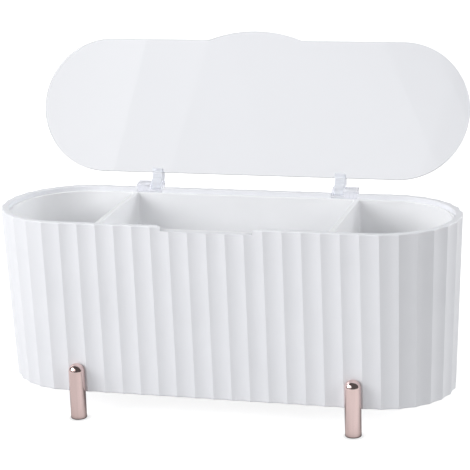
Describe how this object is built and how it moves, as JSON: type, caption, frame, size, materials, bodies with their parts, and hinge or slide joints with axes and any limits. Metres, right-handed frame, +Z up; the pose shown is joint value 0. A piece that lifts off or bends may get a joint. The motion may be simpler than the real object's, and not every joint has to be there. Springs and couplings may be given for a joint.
{
  "type": "cotton swab storage box",
  "caption": "Fluted stadium-shaped storage box on short cylindrical legs, with three open compartments and a clear hinged lid that stands open against a stop.",
  "frame": {"origin": "on the standing surface, centred below the bounding box of the box with its lid open", "axes": "+X along the length, to the right seen from the front; +Y to the back, where the hinge is; +Z up"},
  "size_m": [0.25, 0.1176, 0.1902],
  "materials": {
    "white_plastic": "satin moulded",
    "white_plastic_tray": "satin moulded",
    "clear_plastic": "clear polished",
    "clear_plastic_hinge": "clear moulded",
    "steel_pin": "plain",
    "rose_gold": "rose-gold plated, mirror",
    "steel_screw": "plain"
  },
  "bodies": {
    "base": {"outer_shell": "white_plastic", "inner_tray": "white_plastic_tray", "hinge_bracket_left": "clear_plastic_hinge", "hinge_bracket_right": "clear_plastic_hinge", "hinge_pin_left": "steel_pin", "hinge_pin_right": "steel_pin", "leg_front_left": "rose_gold", "leg_front_right": "rose_gold", "leg_rear_left": "rose_gold", "leg_rear_right": "rose_gold", "leg_screws": "steel_screw"},
    "lid": {"lid": "clear_plastic"}
  },
  "joints": [
    {"name": "lid_hinge", "type": "hinge", "parent": "base", "child": "lid", "pos_m": [0, 0.02939, 0.1087], "axis": [1, 0, 0], "range_deg": [0, 111]}
  ]
}
